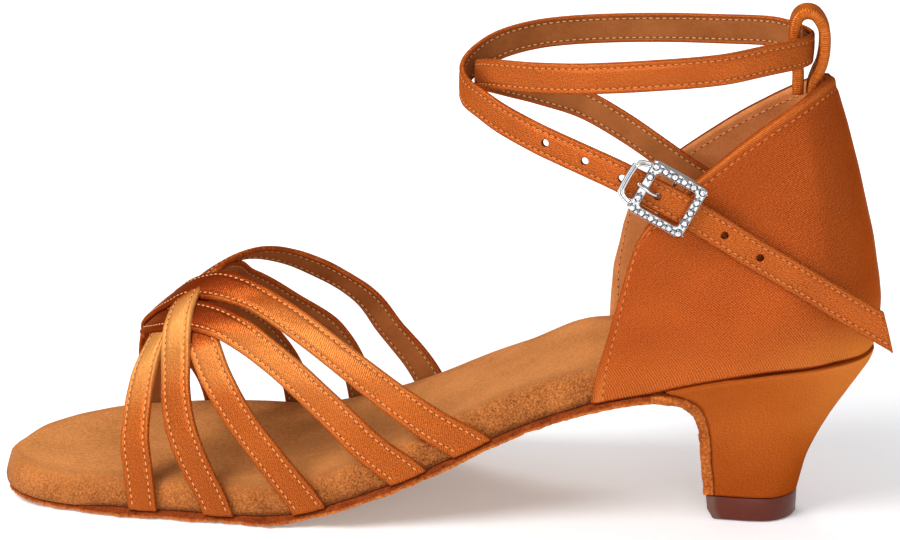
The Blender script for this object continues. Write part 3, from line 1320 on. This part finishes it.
def toe_strap(index):
    share, x, slant, length = strand_frame(index, 230)
    lean = slant / np.sqrt(1.0 + slant ** 2)
    sway = 0.00008 * np.sin(length * 420.0 + index * 1.7) * np.sin(length * 130.0 + index)

    def line(across, rise):
        return strand_point(index, share, x, slant, across, np.full(len(share), rise) + sway)

    made = ribbon("toe_strap_%d" % (index + 1), STRAP_PROFILE, line,
                  lambda across: length + across * lean, [strap_satin, lining_suede])
    mark(made.data, "press", np.repeat(smooth(PRESS[index])(share), len(STRAP_PROFILE)))
    finish_piece(made, "vamp_straps", "vamp_straps")
    lines = {1.0: [], -1.0: []}
    inset = 0.5 * STRAP_WIDTH - STRAP_SEAM_INSET
    for face in (1.0, -1.0):
        for side in (-1.0, 1.0):
            place = strand_place(x, slant, side * inset)
            lines[face].append((line(side * inset, face * SEAM_HEIGHT)[3:-3],
                                arch_normal(place, share)[3:-3] * face))
    return lines


strap_lines = [toe_strap(index) for index in range(len(STRANDS))]
sew("toe_strap_seams", [line for lines in strap_lines for line in lines[1.0]], "vamp_straps",
    thread, STRAP_STITCH)
sew("toe_strap_lining_seams", [line for lines in strap_lines for line in lines[-1.0]],
    "vamp_straps", pale_thread, STRAP_LINING_STITCH)

# Ankle strap
# One long satin strap, lined and sewn like the toe straps, that starts inside the
# counter, goes twice round the ankle and ends in a tail with punched holes.
ANKLE_STRAP_WIDTH = 0.008
HOLE_DIAMETER = 0.002
TAIL_SLANT = 0.0082
TAIL_LENGTH = 0.015
TAIL_FIBRES = 90

# Middle line of the strap.
# Columns: share of the length from the heel, share of the ball width to the inner side,
# share of the collar height above the seat.
ANKLE = (
    (0.188, 0.227, 0.496),
    (0.218, 0.217, 0.553),
    (0.248, 0.233, 0.615),
    (0.295, 0.280, 0.702),
    (0.344, 0.300, 0.781),
    (0.393, 0.257, 0.837),
    (0.427, 0.193, 0.876),
    (0.449, 0.107, 0.911),
    (0.459, 0.000, 0.939),
    (0.450, -0.096, 0.965),
    (0.427, -0.184, 0.982),
    (0.385, -0.260, 0.993),
    (0.329, -0.307, 1.007),
    (0.256, -0.320, 1.031),
    (0.188, -0.287, 1.053),
    (0.133, -0.203, 1.081),
    (0.101, -0.110, 1.090),
    (0.090, 0.000, 1.093),
    (0.100, 0.109, 1.097),
    (0.133, 0.207, 1.106),
    (0.192, 0.287, 1.093),
    (0.269, 0.327, 1.081),
    (0.346, 0.307, 1.068),
    (0.397, 0.260, 1.053),
    (0.438, 0.187, 1.024),
    (0.465, 0.099, 0.978),
    (0.476, 0.000, 0.931),
    (0.469, -0.100, 0.900),
    (0.447, -0.187, 0.871),
    (0.417, -0.253, 0.828),
    (0.377, -0.307, 0.779),
    (0.327, -0.344, 0.721),
    (0.286, -0.360, 0.669),
    (0.248, -0.363, 0.613),
    (0.211, -0.364, 0.551),
    (0.175, -0.367, 0.486),
    (0.139, -0.369, 0.417),
    (0.090, -0.369, 0.331),
    (0.038, -0.356, 0.233),
    (-0.008, -0.335, 0.147),
)
# Punched holes as shares of the strap's length, and the one the prong is in.
HOLES = (0.7732, 0.7985, 0.8221, 0.8446, 0.8891, 0.9131)
PRONG_HOLE = 3


def through(rows, steps):
    # Catmull-Rom points through the rows, with the given number of steps in each span.
    rows = np.asarray(rows, float)
    padded = np.concatenate((rows[:1], rows, rows[-1:]))
    t = (np.arange(steps) / steps)[:, None]
    path = []
    for a, b, c, d in zip(padded, padded[1:], padded[2:], padded[3:]):
        path.append(0.5 * (2.0 * b + (c - a) * t + (2.0 * a - 5.0 * b + 4.0 * c - d) * t * t
                           + (3.0 * b - a - 3.0 * c + d) * t ** 3))
    return np.concatenate(path + [rows[-1:]])


def ankle_at(row):
    return np.array((along(row[0]), row[1] * BALL_WIDTH, HEEL_HEIGHT + row[2] * COLLAR_HEIGHT))


def path_frames(path, upright):
    ahead = unit(np.gradient(path, axis=0))
    side = unit(upright - ahead * (ahead @ upright)[:, None])
    return ahead, side, np.cross(ahead, side), lengths_along(path)


ankle_path = through([ankle_at(row) for row in ANKLE], 14)
coarse_path = through([ankle_at(row) for row in ANKLE], 3)
UPRIGHT = np.array((0.0, 0.0, 1.0))
ahead, side, outward, ankle_length = path_frames(ankle_path, UPRIGHT)
ANKLE_PROFILE = strap_profile(ANKLE_STRAP_WIDTH, STRAP_THICKNESS)
ankle_satin = satin("ankle_satin", (0.60, 0.145, 0.028), (0.18, 0.028, 0.005), slant=0.75,
                    pitch=0.00045, roughness=0.38, depth=0.00006, speckle=2.2)
sway = 0.00007 * np.sin(ankle_length * 380.0) * np.sin(ankle_length * 110.0)
tail = TAIL_SLANT / ANKLE_STRAP_WIDTH * ease(1.0 - (ankle_length[-1] - ankle_length) / TAIL_LENGTH)


def ankle_line(across, rise):
    # One run along the strap, slanted at the tail.
    return (ankle_path + side * across + outward * (rise + sway)[:, None]
            - ahead * (tail * across)[:, None])


ankle_strap = ribbon("ankle_strap_satin", ANKLE_PROFILE, ankle_line,
                     lambda across: ankle_length - tail * across, [ankle_satin, lining_suede])
coarse_run = lengths_along(coarse_path)
hole_middles, hole_out = [], []
for share in HOLES:
    goal = share * coarse_run[-1]
    middle = np.array([np.interp(goal, coarse_run, coarse_path[:, k]) for k in range(3)])
    nearest = int(np.argmin(np.linalg.norm(ankle_path - middle, axis=1)))
    hole_middles.append(middle)
    hole_out.append(outward[nearest])


def punched_tool(middles, directions, radius, reach):
    sides = 20
    points, faces = [], []
    for middle, out in zip(middles, directions):
        first = unit(np.cross(out, UPRIGHT))
        second = np.cross(out, first)
        base = len(points)
        for end in (-reach, reach):
            for k in range(sides):
                a = 2.0 * math.pi * k / sides
                round_out = math.cos(a) * first + math.sin(a) * second
                points.append(middle + out * end + radius * round_out)
        for k in range(sides):
            n = (k + 1) % sides
            faces.append((base + k, base + n, base + sides + n, base + sides + k))
        faces.append(tuple(range(base + sides - 1, base - 1, -1)))
        faces.append(tuple(range(base + sides, base + 2 * sides)))
    mesh = bpy.data.meshes.new("hole_punch")
    mesh.from_pydata([tuple(p) for p in points], [], faces)
    return add_object("hole_punch", mesh)


cut_edge = suede("cut_edge", (0.20, 0.06, 0.02), (0.09, 0.025, 0.008), grain=0.0003, patch=0.002,
                 contrast=1.0, depth=0.0001, sheen=0.1)
punch = punched_tool(hole_middles, hole_out, 0.5 * HOLE_DIAMETER, 0.003)
punch.data.materials.append(cut_edge)
cut = ankle_strap.modifiers.new("holes", "BOOLEAN")
cut.operation = "DIFFERENCE"
cut.solver = "EXACT"
cut.object = punch
cut.material_mode = "TRANSFER"
graph = bpy.context.evaluated_depsgraph_get()
punched = bpy.data.meshes.new_from_object(ankle_strap.evaluated_get(graph))
ankle_strap.modifiers.clear()
ankle_strap.data = punched
bpy.data.objects.remove(punch)
finish_piece(ankle_strap, "ankle_strap", "ankle_strap")
fray_mesh = bpy.data.meshes.new("tail_fray")
tail_end = [ankle_line(across, rise)[-1].tolist() for across, rise, _ in ANKLE_PROFILE[:27]]
fray_mesh.from_pydata(tail_end, [], [tuple(range(27))])
mark(fray_mesh, "low", np.ones(27))
fray = add_object("tail_fray", fray_mesh)
grow(fray, fibre_tree(), density=TAIL_FIBRES / fray_mesh.polygons[0].area, length=0.0009,
     width=0.00008, fibre=fibre_suede)
finish_piece(fray, "ankle_strap")
outer_lines, inner_lines = [], []
inset = 0.5 * ANKLE_STRAP_WIDTH - STRAP_SEAM_INSET
for face, kept in ((1.0, outer_lines), (-1.0, inner_lines)):
    for edge in (-1.0, 1.0):
        kept.append((ankle_line(edge * inset, face * SEAM_HEIGHT)[4:-3], outward[4:-3] * face))
sew("ankle_strap_seams", outer_lines, "ankle_strap", counter_thread, STRAP_STITCH)
sew("ankle_strap_lining_seams", inner_lines, "ankle_strap", pale_thread, STRAP_LINING_STITCH)

# Back loop
# A ribbon of ribbed satin folded into a loop and caught under the collar at the back.
# Both rounds of the ankle strap pass through it.
LOOP_WIDTH = 0.010
LOOP_THICKNESS = 0.0029

# Middle line seen from the side, from inside the counter up, over and down again.
# Columns: share of the length from the heel, share of the collar height above the seat.
LOOP = (
    (0.0860, 0.930),
    (0.0855, 0.965),
    (0.0820, 1.003),
    (0.0775, 1.042),
    (0.0755, 1.100),
    (0.0775, 1.165),
    (0.0865, 1.212),
    (0.0970, 1.222),
    (0.1055, 1.207),
    (0.1090, 1.172),
    (0.1090, 1.120),
    (0.1070, 1.060),
    (0.1030, 1.005),
    (0.1020, 0.930),
)
loop_path = through([(along(u), 0.0, HEEL_HEIGHT + v * COLLAR_HEIGHT) for u, v in LOOP], 10)
_, loop_side, loop_out, loop_length = path_frames(loop_path, np.array((0.0, 1.0, 0.0)))
loop_satin = satin("loop_satin", (0.62, 0.17, 0.028), (0.24, 0.038, 0.006), slant=0.5,
                   pitch=0.00046, roughness=0.36, depth=0.00006, ribbed=0.36, speckle=1.5)
back_loop = ribbon("back_loop_satin", strap_profile(LOOP_WIDTH, LOOP_THICKNESS),
                   lambda across, rise: loop_path + loop_side * across + loop_out * rise,
                   lambda across: loop_length, [loop_satin])
finish_piece(back_loop, "back_loop", "back_loop")

# Buckle
# A cast frame set with clear stones, a wire keeper on its left, a hidden bar that the
# strap runs over and a prong through one of the holes. All of it is chromed.
BUCKLE_LENGTH = 0.016
BUCKLE_HEIGHT = 0.0149
BUCKLE_BAR = 0.0026
BUCKLE_DEPTH = 0.0022
WIRE_DIAMETER = 0.0011
# Middle of the frame in the columns of the ankle strap's line, and its slope in degrees.
BUCKLE_AT = (0.2368, -0.3927, 0.6083)
BUCKLE_SLOPE = 27.5
STONES_LONG = 6
STONES_SHORT = 5
centre = ankle_at(BUCKLE_AT)
turn = math.radians(BUCKLE_SLOPE)
e1 = np.array((math.cos(turn), 0.0, -math.sin(turn)))
e2 = np.array((math.sin(turn), 0.0, math.cos(turn)))
e3 = np.array((0.0, -1.0, 0.0))
half_a = 0.5 * (BUCKLE_LENGTH - BUCKLE_BAR)
half_b = 0.5 * (BUCKLE_HEIGHT - BUCKLE_BAR)
wire_radius = 0.5 * WIRE_DIAMETER


def local(a, b, c):
    return centre + e1 * a + e2 * b + e3 * c


def polished(name, color, roughness):
    made, tree, shader = new_material(name, roughness, metallic=1.0)
    mix, noise = speckle_of(tree, 700.0, [0.86 * c for c in color], color)
    feed(tree, shader, {"Base Color": (mix, 2)})
    bumped(tree, shader, (noise, "Fac"), 0.00001)
    return made


frame_chrome = polished("frame_chrome", (0.58, 0.58, 0.58), 0.16)
keeper_chrome = polished("keeper_chrome", (0.62, 0.61, 0.61), 0.12)


def frame_ring(a, b, depth, corner):
    ring = []
    for sa, sb in ((1, 1), (-1, 1), (-1, -1), (1, -1)):
        turns = np.linspace(0.0, 0.5 * np.pi, 5)
        if sa * sb < 0:
            turns = turns[::-1]
        ring += [local(sa * (a - corner + corner * math.cos(t)),
                       sb * (b - corner + corner * math.sin(t)), depth) for t in turns]
    return ring


def frame_grid():
    bar, depth = 0.5 * BUCKLE_BAR, 0.5 * BUCKLE_DEPTH
    section = ((1.0, -0.7), (1.0, 0.35), (0.9, 0.75), (0.8, 0.95), (0.74, 0.98), (0.66, 0.55),
               (-0.66, 0.55), (-0.74, 0.98), (-0.8, 0.95), (-0.9, 0.75), (-1.0, 0.35), (-1.0, -0.7),
               (-0.7, -1.0), (0.7, -1.0))
    rings = [frame_ring(half_a + s * bar, half_b + s * bar, d * depth, 0.0012 + 0.0004 * s)
             for s, d in section]
    rings.append(rings[0])
    return np.array(rings)


buckle = cloth_object("stone_frame", frame_grid(), [frame_chrome], caps=False)
for polygon in buckle.data.polygons:
    polygon.use_smooth = False
finish_piece(buckle, "buckle_frame", "buckle_frame")


def wire_tube(name, rows, radius, material):
    sides = 14
    path = through(rows, 8)
    ahead = unit(np.gradient(path, axis=0))
    first = unit(np.cross(ahead[0], (0.31, 0.52, 0.79)))
    grid = []
    for point, forward in zip(path, ahead):
        first = unit(first - forward * forward.dot(first))
        second = np.cross(forward, first)
        grid.append([point + radius * (math.cos(2 * math.pi * k / sides) * first
                                       + math.sin(2 * math.pi * k / sides) * second)
                     for k in range(sides)])
    return cloth_object(name, np.array(grid), [material])


BAR_DROP = 0.5 * BUCKLE_DEPTH + STRAP_THICKNESS + 4.0 * GAP + wire_radius
hidden_bar = wire_tube("hidden_bar", [local(0.0, b, c) for b, c in (
    (-half_b, 0.0), (-half_b + 0.0003, -0.5 * BAR_DROP), (-half_b + 0.0012, -BAR_DROP),
    (0.0, -BAR_DROP), (half_b - 0.0012, -BAR_DROP), (half_b - 0.0003, -0.5 * BAR_DROP),
    (half_b, 0.0))], wire_radius, keeper_chrome)
finish_piece(hidden_bar, "buckle_frame")
# The wire keeper's run out from the frame's short side.
# Columns: reach past the frame, share of half the frame's height.
KEEPER = ((0.0, 0.98), (0.0022, 0.96), (0.0044, 0.80), (0.0052, 0.50), (0.0052, -0.50),
          (0.0044, -0.80), (0.0022, -0.96), (0.0, -0.98))
# Columns: size of the round, radius of the wire, depth below the frame's middle.
KEEPER_ROUNDS = ((1.0, 0.00034, 0.0), (0.82, 0.00034, 0.0), (0.91, 0.0003, -0.0003))
for number, (size, radius, depth) in enumerate(KEEPER_ROUNDS):
    keeper = wire_tube("wire_keeper_%d" % (number + 1), [
        local(-half_a - size * a, b * half_b * (0.2 + 0.8 * size), depth) for a, b in KEEPER], radius,
        keeper_chrome)
    finish_piece(keeper, "buckle_frame")
offset = hole_middles[PRONG_HOLE] - centre
hole_a, hole_b, hole_c = offset @ e1, offset @ e2, offset @ e3
prong = wire_tube("prong", [local(a, b, c) for a, b, c in (
    (0.0006, 0.5 * hole_b, -BAR_DROP - 2.0 * wire_radius - 1.2 * GAP),
    (0.4 * hole_a, 0.8 * hole_b, -BAR_DROP - 1.5 * wire_radius - GAP),
    (0.93 * hole_a, hole_b, hole_c - 0.9 * STRAP_THICKNESS),
    (hole_a, hole_b, hole_c),
    (1.04 * hole_a, hole_b, hole_c + 0.9 * STRAP_THICKNESS),
    (0.5 * (hole_a - half_a), 0.6 * hole_b, wire_radius + GAP),
    (-half_a + 0.0005, 0.2 * hole_b, wire_radius + 2.0 * GAP),
    (-half_a - 0.0018, 0.0, wire_radius + GAP))], wire_radius * 0.85, keeper_chrome)
finish_piece(prong, "buckle_prong", "buckle_prong")


def stone_tree():
    # A cut stone with a table on each point, and a bead of metal on both its sides.
    tree, entry, leave = geometry_tree("set_stones", (
        ("Stone Width", "NodeSocketFloat", 0.002), ("Bead Width", "NodeSocketFloat", 0.0005),
        ("Stone", "NodeSocketMaterial", None), ("Bead", "NodeSocketMaterial", None)))
    facing, row = [place_nodes(tree, "GeometryNodeInputNamedAttribute", {"Name": name},
                               data_type="FLOAT_VECTOR") for name in ("outward", "row")]
    turn = place_nodes(tree, "FunctionNodeAxesToRotation", {0: facing, 1: row},
                       primary_axis="Z", secondary_axis="X")
    join = place_nodes(tree, "GeometryNodeJoinGeometry")
    crown = place_nodes(tree, "GeometryNodeMeshCone", {
        "Vertices": 8, "Radius Top": 0.28, "Radius Bottom": 0.5, "Depth": 0.26})
    wide = place_nodes(tree, "ShaderNodeCombineXYZ", {axis: (entry, "Stone Width") for axis in "XYZ"})
    sized = place_nodes(tree, "GeometryNodeTransform", {
        "Geometry": (crown, "Mesh"), "Scale": (wide, "Vector")})
    place = place_nodes(tree, "GeometryNodeInstanceOnPoints", {
        "Points": (entry, "Geometry"), "Instance": (sized, "Geometry"), "Rotation": turn})
    feed(tree, join, {"Geometry": painted(tree, place, "Instances", entry, "Stone")})
    for sign in (-0.5, 0.5):
        reach = maths(tree, "MULTIPLY", (entry, "Stone Width"), sign * 1.06)
        shift = place_nodes(tree, "ShaderNodeVectorMath", {0: row, "Scale": reach},
                            operation="SCALE")
        moved = place_nodes(tree, "GeometryNodeSetPosition", {
            "Geometry": (entry, "Geometry"), "Offset": shift})
        half_bead = maths(tree, "MULTIPLY", (entry, "Bead Width"), 0.5)
        bead = place_nodes(tree, "GeometryNodeMeshUVSphere", {
            "Segments": 8, "Rings": 6, "Radius": half_bead})
        beads = place_nodes(tree, "GeometryNodeInstanceOnPoints", {
            "Points": (moved, "Geometry"), "Instance": (bead, "Mesh")})
        feed(tree, join, {"Geometry": painted(tree, beads, "Instances", entry, "Bead")})
    feed(tree, leave, {"Geometry": (join, "Geometry")})
    return tree


def stone_places():
    # Stones on the long sides with those at the corners, then between them on the short ones.
    places = []
    for k in range(STONES_LONG):
        a = -half_a + 2.0 * half_a * k / (STONES_LONG - 1)
        places += [(a, half_b, e1), (a, -half_b, e1)]
    for k in range(1, STONES_SHORT - 1):
        b = -half_b + 2.0 * half_b * k / (STONES_SHORT - 1)
        places.append((half_a, b, e2))
        if abs(b) > 0.001:
            places.append((-half_a, b, e2))
    return places


foil_stone, foil_tree, foil_shader = new_material("foil_stone", 0.03, metallic=1.0)
foil_place = place_nodes(foil_tree, "ShaderNodeTexCoord")
facets = place_nodes(foil_tree, "ShaderNodeTexVoronoi", {
    "Scale": 1500.0, "Vector": (foil_place, "Object")})
foil_tint = blend(foil_tree, (facets, "Distance"), (0.97, 0.97, 1.0, 1.0), (0.16, 0.16, 0.17, 1.0))
feed(foil_tree, foil_shader, {"Base Color": (foil_tint, 2)})
stone_rows = stone_places()
stone_mesh = bpy.data.meshes.new("stones")
stone_mesh.from_pydata([tuple(local(a, b, 0.42 * BUCKLE_DEPTH)) for a, b, _ in stone_rows], [], [])
for title, rows in (("outward", [e3] * len(stone_rows)), ("row", [r for _, _, r in stone_rows])):
    stone_mesh.attributes.new(title, "FLOAT_VECTOR", "POINT").data.foreach_set(
        "vector", np.array(rows).ravel())
stones = add_object("stones", stone_mesh)
grow(stones, stone_tree(), stone_width=0.0023, bead_width=0.0006, stone=foil_stone,
     bead=frame_chrome)
finish_piece(stones, "buckle_frame")
